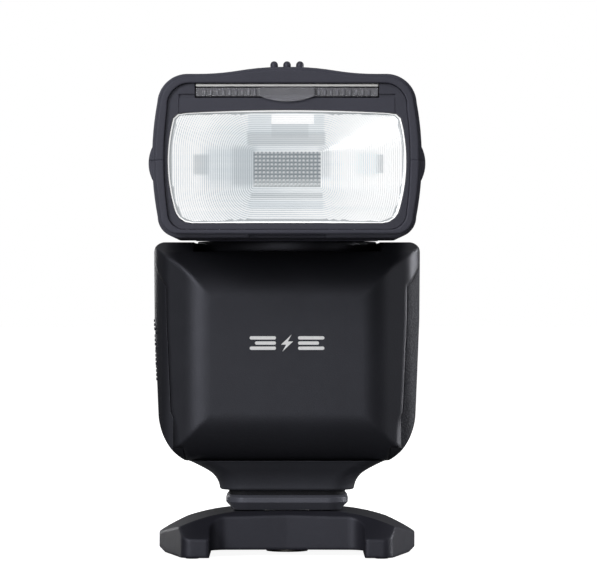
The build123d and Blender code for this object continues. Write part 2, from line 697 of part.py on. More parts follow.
with BuildPart() as test_button:
    rod_y(TEST_X, 29.3, 30.8, CORNER_Z, 4.7)
    rod_y(TEST_X, 29.3, 33.8, CORNER_Z, 4.0)
    fillet(test_button.edges().group_by(Axis.Y)[-1], 0.5)
save(test_button, "test_button")

with BuildPart() as power_lever:
    rod_y(POWER_X, 29.5, 33.3, CORNER_Z, 2.7)
    rod_y(POWER_X, 33.1, 34.3, CORNER_Z, 5.2)
    fillet(power_lever.faces().sort_by(Axis.Y)[-1].edges(), 0.4)
    block(POWER_X - 0.9, POWER_X + 0.9, 34.2, 35.6, CORNER_Z - 4.6, CORNER_Z + 4.6)
save(power_lever, "power_lever")

# ---------------------------------------------------------------- turret between body and head
with BuildPart() as turret:
    rod_z(0, SWIVEL_Y, DECK_Z + 0.1, TURRET_TOP, TURRET_R)
    fillet(turret.edges().group_by(Axis.Z)[-1], 0.5)
    rod_z(0, SWIVEL_Y, DECK_Z - WALL - 0.3, DECK_Z + 0.2, HUB_R)
    block(-DRUM_HALF, DRUM_HALF, PIVOT_Y - 12, PIVOT_Y + 12, TURRET_TOP - 0.1, PIVOT_Z - 8)
    rod_x(-DRUM_HALF, DRUM_HALF, PIVOT_Y, PIVOT_Z, DRUM_R)
    for side in (-1, 1):
        rod_x(14 * side, 25 * side, PIVOT_Y, PIVOT_Z, AXLE_R, mode=Mode.SUBTRACT)
    rod_z(0, 8, 80, PIVOT_Z - 2, 5.5, mode=Mode.SUBTRACT)
save(turret, "swivel_turret")

with BuildPart() as retainer:
    rod_z(0, SWIVEL_Y, 82.8, DECK_Z - WALL - 0.3, HUB_R + 3.5)
    rod_z(0, SWIVEL_Y, 80, 90, 9.8, mode=Mode.SUBTRACT)
save(retainer, "swivel_retainer")

with BuildPart() as axles:
    rod_x(-28, -14, PIVOT_Y, PIVOT_Z, AXLE_R)
    rod_x(14, 28, PIVOT_Y, PIVOT_Z, AXLE_R)
    rod_x(-40, 40, PIVOT_Y, PIVOT_Z, 2.6, mode=Mode.SUBTRACT)
save(axles, "tilt_axles")


# ---------------------------------------------------------------- cases of the head
def head_outline(inset):
    """Front outline of the head, in the X-Z plane: bowed sides, a swelling along the top's middle."""
    with BuildSketch() as outline:
        with BuildLine():
            Line((0, 90.2), (29.5, 90.2))
            ThreePointArc((29.5, 90.2), (33.4, 91.9), (35.0, 95.8))
            ThreePointArc((35.0, 95.8), (36.5, 111.0), (35.1, 126.8))
            ThreePointArc((35.1, 126.8), (32.9, 131.9), (27.2, 134.5))
            Line((27.2, 134.5), (24.0, 134.5))
            rise = TangentArc((24.0, 134.5), (13.0, 135.4), tangent=(-1, 0))
            TangentArc((13.0, 135.4), (0, 136.4), tangent=rise % 1)
            mirror(about=Plane.YZ)
        make_face()
        if inset:
            offset(amount=-inset)
    return outline.sketch


def opening_outline(inset):
    """Opening in the front of the cases, in the X-Z plane."""
    with BuildSketch() as outline:
        with BuildLine():
            Line((0, 92.3), (28.0, 92.3))
            ThreePointArc((28.0, 92.3), (31.0, 93.7), (32.3, 97.0))
            ThreePointArc((32.3, 97.0), (33.3, 111.0), (32.4, 125.0))
            ThreePointArc((32.4, 125.0), (30.8, 129.9), (26.8, 131.9))
            Line((26.8, 131.9), (0, 131.9))
            mirror(about=Plane.YZ)
        make_face()
        if inset:
            offset(amount=-inset)
    return outline.sketch


def lens_outline(inset):
    """Window that the Fresnel lens fills, in the X-Z plane."""
    with BuildSketch() as outline:
        with BuildLine():
            Line((0, 94.0), (26.2, 94.0))
            ThreePointArc((26.2, 94.0), (29.1, 95.3), (30.6, 98.2))
            ThreePointArc((30.6, 98.2), (32.35, 110.0), (31.2, 121.0))
            ThreePointArc((31.2, 121.0), (30.3, 123.1), (28.2, 123.85))
            ThreePointArc((28.2, 123.85), (14.1, 124.5), (0, 124.7))
            mirror(about=Plane.YZ)
        make_face()
        if inset:
            offset(amount=-inset)
    return outline.sketch


def head_envelope(inset):
    """Outside of the head, or its inside when inset by the wall."""
    with BuildPart() as shape:
        with BuildSketch(Plane.XZ):
            add(head_outline(inset))
        extrude(amount=90, both=True)
        with BuildSketch(Plane.XY) as plan:
            with BuildLine():
                Polyline((0, HEAD_FRONT), (35.6, HEAD_FRONT), (36.7, HEAD_FRONT + 1.2), (36.7, -58.0),
                         (34.9, -26.0), (33.8, 6.0), (33.8, 36.4), (0, 36.4))
                mirror(about=Plane.YZ)
            make_face()
            fillet(corners(plan, 36.7, -58.0) + corners(plan, 34.9, -26.0), 30.0)
            fillet(corners(plan, 33.8, 36.4), 6.5)
            if inset:
                offset(amount=-inset)
        extrude(amount=200, both=True, mode=Mode.INTERSECT)
        with BuildSketch(Plane.YZ):
            with BuildLine():
                Line((HEAD_FRONT, 91.3), (HEAD_FRONT + 1.1, 90.2))
                Line((HEAD_FRONT + 1.1, 90.2), (-8, 90.2))
                Line((-8, 90.2), (PIVOT_Y, PIVOT_Z - HEAD_REAR_R))
                ThreePointArc((PIVOT_Y, PIVOT_Z - HEAD_REAR_R), (PIVOT_Y + HEAD_REAR_R, PIVOT_Z),
                              (PIVOT_Y, PIVOT_Z + HEAD_REAR_R))
                Line((PIVOT_Y, PIVOT_Z + HEAD_REAR_R), (-16, 134.6))
                Line((-16, 134.6), (HEAD_FRONT + 1.1, 136.5))
                Line((HEAD_FRONT + 1.1, 136.5), (HEAD_FRONT, 135.4))
                Line((HEAD_FRONT, 135.4), (HEAD_FRONT, 91.3))
            make_face()
            if inset:
                offset(amount=-inset)
        extrude(amount=80, both=True, mode=Mode.INTERSECT)
    return shape.part


BUTTON_R = 5.4
CAP_R = 8.0
RIDGE_Z = 136.95  # axis of the finger ridges on top
ROD_X, ROD_Z, ROD_R = 30.4, 103.0, 1.0
SCREW_X, SCREW_Z, SCREW_R = -26.8, 97.0, 1.15
HEAD_SCREWS = ((-12.6, -63.6), (12.6, -63.6), (-28.0, -52.0), (28.0, -52.0), (-28.0, -9.0), (28.0, -9.0))

with BuildPart() as pads:
    for side in (-1, 1):
        rod_y(27.3 * side, -65.8, -57.0, 110.3, 10.2)
    block(-34, 34, -66, -57, 90, 130, mode=Mode.SUBTRACT)

with BuildPart() as head_body:
    add(head_envelope(0))
    add(head_envelope(WALL), mode=Mode.SUBTRACT)
    # cheeks and the wall round the drum
    rod_x(-CHEEK_INNER - 1.4, CHEEK_INNER + 1.4, PIVOT_Y, PIVOT_Z, HEAD_REAR_R)
    rod_x(-CHEEK_INNER, CHEEK_INNER, PIVOT_Y, PIVOT_Z, DRUM_R + 0.5, mode=Mode.SUBTRACT)
    rod_x(-30, 30, PIVOT_Y, PIVOT_Z, AXLE_R + 0.3, mode=Mode.SUBTRACT)
    with BuildSketch(Plane.YZ):
        with BuildLine():
            Polyline((PIVOT_Y - 12.6, PIVOT_Z), (PIVOT_Y - 12.6, 80), (60, 80), (60, PIVOT_Z + 12.6),
                     (PIVOT_Y, PIVOT_Z + 12.6), (PIVOT_Y - 12.6, PIVOT_Z))
        make_face()
    extrude(amount=CHEEK_INNER, both=True, mode=Mode.SUBTRACT)
    # front opening, bounce release, hinge cap
    with BuildSketch(at_y(HEAD_FRONT - 1)):
        add(opening_outline(0))
    extrude(amount=-5.0, mode=Mode.SUBTRACT)
    # the rim of the opening stands in from the sides behind a narrow groove
    for y0, y1, step in ((HEAD_FRONT - 1, STEP_Y, 1.0), (STEP_Y - 0.01, STEP_Y + 0.4, 1.45)):
        with BuildSketch(at_y(y0)):
            Rectangle(200, 400)
            add(head_outline(step), mode=Mode.SUBTRACT)
        extrude(amount=y0 - y1, mode=Mode.SUBTRACT)
    rod_x(28, 40, PIVOT_Y, PIVOT_Z, BUTTON_R + 0.3, mode=Mode.SUBTRACT)
    rod_x(-40, -33.0, PIVOT_Y, PIVOT_Z, CAP_R + 0.1, mode=Mode.SUBTRACT)
    # pads on the sides of the front, and finger ridges on top
    add(pads.part)
    for x in (-3.5, 0, 3.5):
        rod_y(x, -65.0, -55.5, RIDGE_Z, 1.05)
        with Locations((x, -65.0, RIDGE_Z), (x, -55.5, RIDGE_Z)):
            Sphere(1.05)
    # posts for the guide rods and the lead screw
    for x in (-ROD_X, ROD_X):
        for y0, y1 in ((-64.0, -61.5), (-6.5, -4.0)):
            with BuildSketch(at_y(y0)):
                with Locations((x, 98.5)):
                    Rectangle(3.4, 13.2)
            extrude(amount=y0 - y1)
    block(SCREW_X - 1.6, SCREW_X + 1.6, -47.5, -45.0, 91.0, SCREW_Z + 2.4)
    for x in (-ROD_X, ROD_X):
        rod_y(x, -63.0, -4.0, ROD_Z, ROD_R, mode=Mode.SUBTRACT)
    rod_y(SCREW_X, -50.0, -42.0, SCREW_Z, SCREW_R + 0.15, mode=Mode.SUBTRACT)
    # chin slot and screw holes
    block(-10.5, 10.5, -71.0, -63.0, 89.0, 90.9, mode=Mode.SUBTRACT)
    for x, y in HEAD_SCREWS:
        rod_z(x, y, 89.0, 93.0, 1.4, mode=Mode.SUBTRACT)

with BuildPart() as bottom_case:
    add(head_body.part)
    split(bisect_by=Plane.XY.offset(PIVOT_Z), keep=Keep.BOTTOM)
    # lip under the chin, in front of the turret
    block(-25.6, 25.6, -27.5, -23.2, CHIN_Z, 91.2)
save(bottom_case, "head_bottom_case")

with BuildPart() as top_case:
    add(head_body.part)
    split(bisect_by=Plane.XY.offset(PIVOT_Z), keep=Keep.TOP)
save(top_case, "head_top_case")

with BuildPart() as head_screws:
    for x, y in HEAD_SCREWS:
        rod_z(x, y, 90.4, 95.0, 1.3)
        block(x - 1, x + 1, y - 0.2, y + 0.2, 90, 90.8, mode=Mode.SUBTRACT)
        block(x - 0.2, x + 0.2, y - 1, y + 1, 90, 90.8, mode=Mode.SUBTRACT)
save(head_screws, "head_screws")

with BuildPart() as release:
    rod_x(30.4, 31.8, PIVOT_Y, PIVOT_Z, BUTTON_R + 1.2)
    rod_x(30.4, 34.9, PIVOT_Y, PIVOT_Z, BUTTON_R)
    fillet(release.edges().group_by(Axis.X)[-1], 0.6)
save(release, "bounce_release_button")

with BuildPart() as cap:
    rod_x(-34.5, -33.0, PIVOT_Y, PIVOT_Z, CAP_R)
    fillet(cap.edges().group_by(Axis.X)[0], 0.5)
save(cap, "hinge_cap")

# ---------------------------------------------------------------- front of the head
SLOT_X, SLOT_Z0, SLOT_Z1 = 24.9, 127.9, 131.8
with BuildPart() as lens_frame:
    with BuildSketch(at_y(LENS_FACE)):
        add(opening_outline(0.1))
        add(lens_outline(0), mode=Mode.SUBTRACT)
        with Locations((0, SLOT_Z0)):
            Rectangle(2 * SLOT_X, 10, align=(Align.CENTER, Align.MIN), mode=Mode.SUBTRACT)
    extrude(amount=-2.6)
    block(-29.2, 29.2, LENS_FACE - 1, LENS_FACE + 0.6, 123.5, SLOT_Z0 + 1, mode=Mode.SUBTRACT)
save(lens_frame, "lens_frame")

with BuildPart() as slot_bar:
    with BuildSketch(at_y(LENS_FACE - 0.2)):
        with BuildLine():
            Polyline((0, SLOT_Z0), (29.1, SLOT_Z0), (29.1, 123.9))
            ThreePointArc((29.1, 123.9), (14.1, 124.5), (0, 124.75))
            mirror(about=Plane.YZ)
        make_face()
    extrude(amount=-0.8)
save(slot_bar, "slot_bar")

with BuildPart() as lens:
    with BuildSketch(at_y(LENS_FACE + 0.8)):
        add(lens_outline(0.1))
    extrude(amount=-1.8)
    with BuildSketch(at_y(LENS_FACE + 2.6)):
        add(lens_outline(-1.0))
    extrude(amount=-0.8)
save(lens, "fresnel_lens")

PANEL_X, PANEL_Y0, PANEL_Y1 = 24.6, -68.6, -30.0
with BuildPart() as tray:
    block(-26.4, 26.4, -65.6, -26.0, 127.2, 132.5)
    block(-SLOT_X, SLOT_X, -66.0, -28.0, SLOT_Z0, SLOT_Z1, mode=Mode.SUBTRACT)
    block(-20.0, 20.0, -60.0, -34.0, 127.0, 128.5, mode=Mode.SUBTRACT)
save(tray, "panel_tray")

with BuildPart() as wide_panel:
    block(-PANEL_X, PANEL_X, PANEL_Y0, PANEL_Y1, 128.3, 130.6)
    # finger lip in the middle of its front edge
    with BuildSketch(at_y(PANEL_Y0 - 1.4)):
        with BuildLine():
            Line((0, 130.6), (-7.4, 130.6))
            Line((-7.4, 130.6), (-7.4, 128.3))
            ThreePointArc((-7.4, 128.3), (-5.0, 127.5), (0, 126.8))
            mirror(about=Plane.YZ)
        make_face()
    extrude(amount=-0.95)
    block(-7.4, 7.4, PANEL_Y0 - 1.4, PANEL_Y0 + 1, 128.6, 130.6)
save(wide_panel, "wide_panel")

with BuildPart() as catchlight_panel:
    block(-PANEL_X, PANEL_X, PANEL_Y0, PANEL_Y1, 131.0, 131.6)
save(catchlight_panel, "catchlight_panel")

# ---------------------------------------------------------------- zoom optics
TUBE_Y, TUBE_Z, TUBE_R = -18.5, 109.4, 2.0
MOUTH_Y, BACK_Y = -40.0, -16.0
ZOOM_TRAVEL = 18.0

with BuildPart() as reflector:
    bowl_sections = ((MOUTH_Y, 50.0, 25.0), (-30.0, 45.0, 22.0), (-22.0, 37.0, 16.5), (BACK_Y, 28.0, 8.4))
    for y, width, height in bowl_sections:
        with BuildSketch(at_y(y)):
            with Locations((0, TUBE_Z)):
                RectangleRounded(width, height, 2.0)
    loft()
    for y, width, height in ((MOUTH_Y - 0.1, 48.4, 23.4), (-30.0, 43.4, 20.4), (-22.0, 35.4, 14.9),
                             (BACK_Y - 0.8, 26.4, 6.8)):
        with BuildSketch(at_y(y)):
            with Locations((0, TUBE_Z)):
                RectangleRounded(width, height, 1.4)
    loft(mode=Mode.SUBTRACT)
    rod_x(-30, 30, TUBE_Y, TUBE_Z, TUBE_R + 0.2, mode=Mode.SUBTRACT)
save(reflector, "reflector")

with BuildPart() as tube:
    rod_x(-24.6, 24.6, TUBE_Y, TUBE_Z, TUBE_R)
save(tube, "flash_tube")

with BuildPart() as grips:
    for side in (-1, 1):
        rod_x(19 * side, 24 * side, TUBE_Y, TUBE_Z, TUBE_R + 1.0)
    rod_x(-30, 30, TUBE_Y, TUBE_Z, TUBE_R, mode=Mode.SUBTRACT)
save(grips, "tube_grips")

with BuildPart() as carriage:
    block(-29.0, 29.0, BACK_Y, BACK_Y + 3.0, 96.0, 122.0)
    block(-10.0, 10.0, BACK_Y - 1, BACK_Y + 4, 112.0, 119.0, mode=Mode.SUBTRACT)
    block(-14.0, 14.0, BACK_Y - 1, BACK_Y + 4, 99.0, 106.0, mode=Mode.SUBTRACT)
    for side in (-1, 1):
        block(21.5 * side - 2.3, 21.5 * side + 2.3, BACK_Y - 6.5, BACK_Y + 1, 105, 114)
        rod_y(ROD_X * side, -24.0, -11.0, ROD_Z, 2.3)
    rod_y(SCREW_X, -24.0, -11.0, SCREW_Z, 2.5)
    rod_x(-30, 30, TUBE_Y, TUBE_Z, TUBE_R + 1.0, mode=Mode.SUBTRACT)
    for x in (-ROD_X, ROD_X):
        rod_y(x, -30, -5, ROD_Z, ROD_R + FIT, mode=Mode.SUBTRACT)
    rod_y(SCREW_X, -30, -5, SCREW_Z, SCREW_R + 0.1, mode=Mode.SUBTRACT)
save(carriage, "zoom_carriage")

with BuildPart() as rods:
    for x in (-ROD_X, ROD_X):
        rod_y(x, -63.0, -4.0, ROD_Z, ROD_R)
save(rods, "zoom_guide_rods")

with BuildPart() as lead_screw:
    rod_y(SCREW_X, -47.5, -3.4, SCREW_Z, SCREW_R)
save(lead_screw, "zoom_lead_screw")

with BuildPart() as motor:
    rod_y(SCREW_X, -3.4, 7.0, SCREW_Z, 4.8)
save(motor, "zoom_motor")
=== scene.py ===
"""Looks of a speedlight flash on its mini stand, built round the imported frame.

Every length is in metres, in the frame's own axes: +Z up, and the lens faces -Y.
"""

import math

import bmesh
import bpy
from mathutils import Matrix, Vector
from mathutils.bvhtree import BVHTree


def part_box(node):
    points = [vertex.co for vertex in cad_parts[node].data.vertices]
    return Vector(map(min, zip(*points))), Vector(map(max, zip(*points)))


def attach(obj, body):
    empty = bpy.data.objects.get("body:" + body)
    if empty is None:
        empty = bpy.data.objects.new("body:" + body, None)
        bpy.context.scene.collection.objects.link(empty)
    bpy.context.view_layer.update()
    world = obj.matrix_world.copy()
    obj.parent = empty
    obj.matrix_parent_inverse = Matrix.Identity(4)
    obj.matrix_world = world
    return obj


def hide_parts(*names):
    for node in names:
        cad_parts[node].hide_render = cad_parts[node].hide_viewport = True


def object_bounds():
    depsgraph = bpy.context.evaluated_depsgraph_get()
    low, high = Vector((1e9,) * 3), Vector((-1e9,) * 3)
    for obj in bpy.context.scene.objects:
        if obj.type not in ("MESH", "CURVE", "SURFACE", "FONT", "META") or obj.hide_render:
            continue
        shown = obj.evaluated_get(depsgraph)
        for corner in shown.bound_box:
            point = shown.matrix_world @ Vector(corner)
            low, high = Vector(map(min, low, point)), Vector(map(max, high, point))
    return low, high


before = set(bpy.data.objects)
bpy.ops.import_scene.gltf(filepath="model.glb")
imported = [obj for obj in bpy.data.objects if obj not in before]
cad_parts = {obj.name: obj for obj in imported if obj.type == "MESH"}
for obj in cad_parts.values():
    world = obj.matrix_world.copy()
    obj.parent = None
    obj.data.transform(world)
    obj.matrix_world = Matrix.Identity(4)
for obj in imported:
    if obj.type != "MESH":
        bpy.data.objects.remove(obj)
cad_low, cad_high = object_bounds()

MM = 0.001
UP = (0, 0, 1)
scene = bpy.context.scene


# ---------------------------------------------------------------- material helpers
# sockets of the Mix node that carry its factor, its two colours and their mixture
MIX_FACTOR, MIX_FIRST, MIX_SECOND, MIX_RESULT = 0, 6, 7, 2
COOL_SHEEN = (0.84, 0.86, 1.0)
PLASTIC_GRAIN_DEPTH = 0.02 * MM
METAL_PIT_DEPTH = 0.01 * MM


class Graph:
    """A material's nodes, made and joined by short calls."""

    def __init__(self, name):
        self.material = bpy.data.materials.new(name)
        self.material.use_nodes = True
        self.tree = self.material.node_tree
        self.nodes = self.tree.nodes
        self.shader = self.nodes["Principled BSDF"]
        self.place = self.nodes.new("ShaderNodeTexCoord").outputs["Object"]

    def join(self, source, socket):
        self.tree.links.new(source, socket)

    def make(self, kind, inputs=(), **settings):
        node = self.nodes.new("ShaderNode" + kind)
        for key, value in settings.items():
            setattr(node, key, value)
        for key, value in dict(inputs).items():
            if isinstance(value, bpy.types.NodeSocket):
                self.join(value, node.inputs[key])
            else:
                node.inputs[key].default_value = value
        return node

    def noise(self, scale, detail=2.0, rough=0.5, place=None):
        inputs = {"Vector": place or self.place, "Scale": scale, "Detail": detail, "Roughness": rough}
        return self.make("TexNoise", inputs).outputs["Fac"]

    def cells(self, scale, smooth):
        inputs = {"Vector": self.place, "Scale": scale, "Smoothness": smooth}
        return self.make("TexVoronoi", inputs, feature="SMOOTH_F1").outputs["Distance"]

    def mapped(self, **settings):
        """Object coordinates, stretched or turned."""
        return self.make("Mapping", {"Vector": self.place, **settings}).outputs[0]

    def spread(self, value, low, high, to_low=0.0, to_high=1.0):
        inputs = {"Value": value, "From Min": low, "From Max": high, "To Min": to_low, "To Max": to_high}
        return self.make("MapRange", inputs).outputs[0]

    def math(self, operation, first, second=0.0, third=None):
        inputs = {0: first, 1: second}
        if third is not None:
            inputs[2] = third
        return self.make("Math", inputs, operation=operation).outputs[0]

    def times(self, first, second):
        return self.math("MULTIPLY", first, second)

    def mix(self, factor, first, second):
        node = self.nodes.new("ShaderNodeMix")
        node.data_type = "RGBA"
        for index, value in ((MIX_FACTOR, factor), (MIX_FIRST, first), (MIX_SECOND, second)):
            if isinstance(value, bpy.types.NodeSocket):
                self.join(value, node.inputs[index])
            elif index == MIX_FACTOR:
                node.inputs[index].default_value = value
            else:
                node.inputs[index].default_value = (*value, 1.0)
        return node.outputs[MIX_RESULT]

    def between(self, value, first, second, low=0.3, high=0.7):
        """Two colours, mixed by how far value lies from low to high."""
        return self.mix(self.spread(value, low, high), first, second)

    def bump(self, height, distance, strength=1.0, normal=None):
        inputs = {"Height": height, "Distance": distance, "Strength": strength}
        if normal is not None:
            inputs["Normal"] = normal
        return self.make("Bump", inputs).outputs[0]

    def rounded(self, radius):
        """Surface normal with the edges eased over this radius."""
        return self.make("Bevel", {"Radius": radius}, samples=6).outputs[0]

    def axes(self):
        node = self.make("SeparateXYZ", {0: self.place})
        return node.outputs[0], node.outputs[1], node.outputs[2]

    def set(self, **values):
        for key, value in values.items():
            socket = self.shader.inputs[key.replace("_", " ")]
            if isinstance(value, bpy.types.NodeSocket):
                self.join(value, socket)
            elif isinstance(value, tuple) and len(value) == 3:
                socket.default_value = (*value, 1.0)
            else:
                socket.default_value = value
        return self.material


def tinted(colour, factor):
    return tuple(c * factor for c in colour)


def plastic(name, colour, rough, grain=0.35 * MM, edge=0.25 * MM, worn=0.35):
    """Moulded plastic: fine grain, a slow drift of colour and gloss, and edges rubbed a little lighter."""
    g = Graph(name)
    grain_height = g.mix(0.35, g.cells(1 / grain, 0.6), g.noise(1.6 / grain, 3.0))
    drift = g.noise(45, 3.0)
    handled = g.noise(160, 4.0, 0.6)
    base = g.between(drift, tinted(colour, 0.88), tinted(colour, 1.12))
    base = g.mix(g.spread(grain_height, 0.1, 0.8, 0.0, 0.35), base, tinted(colour, 1.7))
    soft = g.rounded(edge)
    flat = g.make("NewGeometry").outputs["Normal"]
    facing = g.make("VectorMath", {0: soft, 1: flat}, operation="DOT_PRODUCT").outputs["Value"]
    rubbed = g.times(g.spread(facing, 0.995, 0.90), g.spread(handled, 0.35, 0.6, 0.4, 1.0))
    base = g.mix(g.times(rubbed, worn), base, tinted(colour, 3.2))
    return g.set(Base_Color=base, Roughness=g.spread(handled, 0.3, 0.7, rough - 0.02, rough + 0.03),
                 Normal=g.bump(grain_height, PLASTIC_GRAIN_DEPTH, normal=soft), Specular_IOR_Level=0.5,
                 Specular_Tint=COOL_SHEEN)


def rubber(name, colour, rough=0.62, grain=0.55 * MM, depth=0.05 * MM, edge=0.3 * MM):
    """Soft coating with a pebbled grain."""
    g = Graph(name)
    pebbles = g.spread(g.cells(1 / grain, 0.25), 0.1, 0.75, 1.0, 0.0)
    height = g.math("MULTIPLY_ADD", g.noise(5200, 2.0), 0.25, pebbles)
    dust = g.spread(g.noise(120, 5.0, 0.65), 0.52, 0.78)
    base = g.between(pebbles, tinted(colour, 0.7), tinted(colour, 1.25), 0.2, 0.9)
    base = g.mix(g.times(dust, 0.25), base, tinted(colour, 2.2))
    roughness = g.spread(pebbles, 0.0, 1.0, rough + 0.12, rough - 0.06)
    return g.set(Base_Color=base, Roughness=roughness, Normal=g.bump(height, depth, normal=g.rounded(edge)),
                 Specular_IOR_Level=0.4, Specular_Tint=COOL_SHEEN)


def metal(name, colour, rough, brushed=(900, 900, 900), edge=0.15 * MM):
    """Plated or machined metal; brushed is the scale of the brush lines along each axis."""
    g = Graph(name)
    lines = g.noise(1.0, 4.0, 0.6, g.mapped(Scale=brushed))
    smear = g.noise(220, 4.0, 0.6)
    base = g.between(smear, tinted(colour, 0.82), colour, 0.3, 0.75)
    roughness = g.math("MULTIPLY_ADD", lines, 0.18, g.spread(smear, 0.3, 0.7, rough - 0.08, rough + 0.08))
    return g.set(Base_Color=base, Metallic=1.0, Roughness=roughness,
                 Normal=g.bump(lines, METAL_PIT_DEPTH, 0.6, g.rounded(edge) if edge else None))


def dressed(material, *nodes):
    for node in nodes:
        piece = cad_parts[node]
        piece.data.materials.clear()
        piece.data.materials.append(material)


# ---------------------------------------------------------------- camera, lights, floor
CAMERA_Y = -1.0
EYE_Z = 0.076
FOCAL_LENGTH = 208.0
# how far the view is shifted off the camera's axis, as a share of the sensor's width
SHIFT_X = 0.01926298
SHIFT_Y = 0.00502513

camera = bpy.data.objects.new("camera", bpy.data.cameras.new("camera"))
scene.collection.objects.link(camera)
camera.location = (0, CAMERA_Y, EYE_Z)
camera.rotation_euler = (math.pi / 2, 0, 0)
camera.data.lens = FOCAL_LENGTH
camera.data.sensor_width = 36.0
camera.data.shift_x = SHIFT_X
camera.data.shift_y = SHIFT_Y
camera.data.clip_start = 0.05
camera.data.clip_end = 50.0
scene.camera = camera

scene.view_settings.view_transform = "Standard"
scene.view_settings.look = "None"


def softbox(name, place, target, width, height, watts):
    data = bpy.data.lights.new(name, "AREA")
    data.shape = "RECTANGLE"
    data.size = width
    data.size_y = height
    data.energy = watts
    lamp = bpy.data.objects.new(name, data)
    lamp.location = place
    lamp.rotation_euler = (Vector(target) - Vector(place)).to_track_quat("-Z", "Y").to_euler()
    scene.collection.objects.link(lamp)


CENTRE = ((cad_low.x + cad_high.x) / 2, (cad_low.y + cad_high.y) / 2, cad_high.z / 2)
STAND_FRONT = (0, 0, 0.02)
softbox("key_left", (-0.72, -1.10, 0.42), CENTRE, 0.34, 0.60, 8.5)
softbox("front_high", (-0.10, -1.30, 0.95), CENTRE, 0.7, 0.4, 3.6)
softbox("front_low", (-0.15, -1.60, 0.06), STAND_FRONT, 0.9, 0.12, 2.2)
softbox("fill_right", (1.05, -0.45, 0.30), CENTRE, 0.20, 0.6, 0.6)
softbox("edge_left", (-0.50, 0.75, 0.30), CENTRE, 0.25, 0.7, 2.0)
softbox("edge_right", (0.72, 0.22, 0.20), CENTRE, 0.20, 0.6, 5.0)
softbox("top", (0.0, 0.15, 1.10), CENTRE, 0.9, 0.9, 2.4)


def seen_only(tree, unseen, seen):
    """A level that the camera sees as one value and the light in the room as another."""
    path = tree.nodes.new("ShaderNodeLightPath")
    level = tree.nodes.new("ShaderNodeMapRange")
    level.inputs["To Min"].default_value = unseen
    level.inputs["To Max"].default_value = seen
    tree.links.new(path.outputs["Is Camera Ray"], level.inputs["Value"])
    return level.outputs[0]


SKY_LIGHT = 0.10
world = bpy.data.worlds.new("studio")
world.use_nodes = True
scene.world = world
sky = world.node_tree.nodes["Background"]
sky.inputs["Color"].default_value = (1, 1, 1, 1)
world.node_tree.links.new(seen_only(world.node_tree, SKY_LIGHT, 1.0), sky.inputs["Strength"])

FLOOR_RADIUS = 6.0
FLOOR_BOUNCE = (0.16, 0.16, 0.16)
FLOOR_GLOW = 0.93
floor_mesh = bpy.data.meshes.new("floor")
shape = bmesh.new()
bmesh.ops.create_circle(shape, cap_ends=True, segments=96, radius=FLOOR_RADIUS)
shape.to_mesh(floor_mesh)
shape.free()
floor = bpy.data.objects.new("floor", floor_mesh)
scene.collection.objects.link(floor)
g = Graph("floor_paper")
paper = g.spread(g.noise(700, 3.0), 0.2, 0.8, 0.90, 0.93)
floor_mesh.materials.append(g.set(Base_Color=g.mix(seen_only(g.tree, 0.0, 1.0), FLOOR_BOUNCE, paper),
                                  Roughness=0.9, Specular_IOR_Level=0.1, Emission_Color=(1, 1, 1),
                                  Emission_Strength=seen_only(g.tree, 0.0, FLOOR_GLOW)))

# ---------------------------------------------------------------- materials of the frame's own pieces
BODY = (0.0100, 0.0103, 0.0130)
HEAD = (0.034, 0.034, 0.046)
FOOT = (0.0100, 0.0103, 0.0125)
STAND = (0.0155, 0.0155, 0.0212)

dressed(plastic("body_plastic", BODY, 0.42, edge=1.6 * MM), "body_front_cover", "body_rear_cover",
        "hinge_cap", "swivel_turret")
dressed(plastic("head_plastic", HEAD, 0.46, edge=0.7 * MM), "head_top_case", "head_bottom_case")
dressed(plastic("bezel_plastic", tinted(HEAD, 0.9), 0.42, grain=0.25 * MM), "lens_frame")
dressed(plastic("bar_plastic", HEAD, 0.46, grain=0.25 * MM, edge=0.2 * MM), "slot_bar")
dressed(plastic("door_plastic", tinted(BODY, 1.1), 0.45), "battery_door")
dressed(rubber("grip_rubber", (0.017, 0.017, 0.0205)), "body_side_cover", "terminal_flap")
dressed(plastic("foot_plastic", tinted(FOOT, 3.2), 0.46), "neck_housing")
# the foot block is a much lighter copy of the foot plastic: painted light that lifts it out of the body's
# shadow
dressed(plastic("block_plastic_lightened", tinted(FOOT, 6.5), 0.38), "foot_block", "lock_lever")
dressed(plastic("stand_plastic", STAND, 0.44, edge=1.3 * MM, worn=0.15), "stand_base")
dressed(rubber("seal_rubber", (0.012, 0.012, 0.013), 0.7, 0.3 * MM, 0.02 * MM), "foot_seal",
        "stand_rubber_feet")
dressed(plastic("button_plastic", (0.014, 0.014, 0.016), 0.38, grain=0.2 * MM, edge=0.12 * MM),
        "control_dial", "set_button", "function_button_1", "function_button_2", "function_button_3",
        "function_button_4", "link_button", "menu_button", "power_lever", "lock_release_button",
        "bounce_release_button")
dressed(metal("steel", (0.62, 0.62, 0.64), 0.28), "foot_screws", "lock_pin", "battery_contacts",
        "swivel_retainer", "tilt_axles", "head_screws", "zoom_guide_rods", "zoom_motor", "zoom_lead_screw")
dressed(metal("blackened_steel", (0.045, 0.045, 0.048), 0.42), "body_screws", "battery_door_pin")
dressed(metal("foot_metal", (0.55, 0.55, 0.57), 0.34, (300, 4200, 300)), "foot_plate")
dressed(metal("brass", (0.78, 0.56, 0.26), 0.26), "foot_contact_pins")
dressed(metal("bush_metal", (0.14, 0.13, 0.12), 0.36), "stand_tripod_bush")
dressed(metal("reflector_metal", (0.88, 0.88, 0.90), 0.12, edge=0), "reflector")
dressed(plastic("inner_plastic", (0.02, 0.02, 0.02), 0.55), "terminal_sockets", "battery_compartment",
        "charging_transformer", "panel_tray", "zoom_carriage")

# ---------------------------------------------------------------- see-through and inner materials
UPRIGHT = (math.pi / 2, 0, 0)
CELL_CAP_Z, CELL_LINE_Z = 66.0 * MM, 66.2 * MM

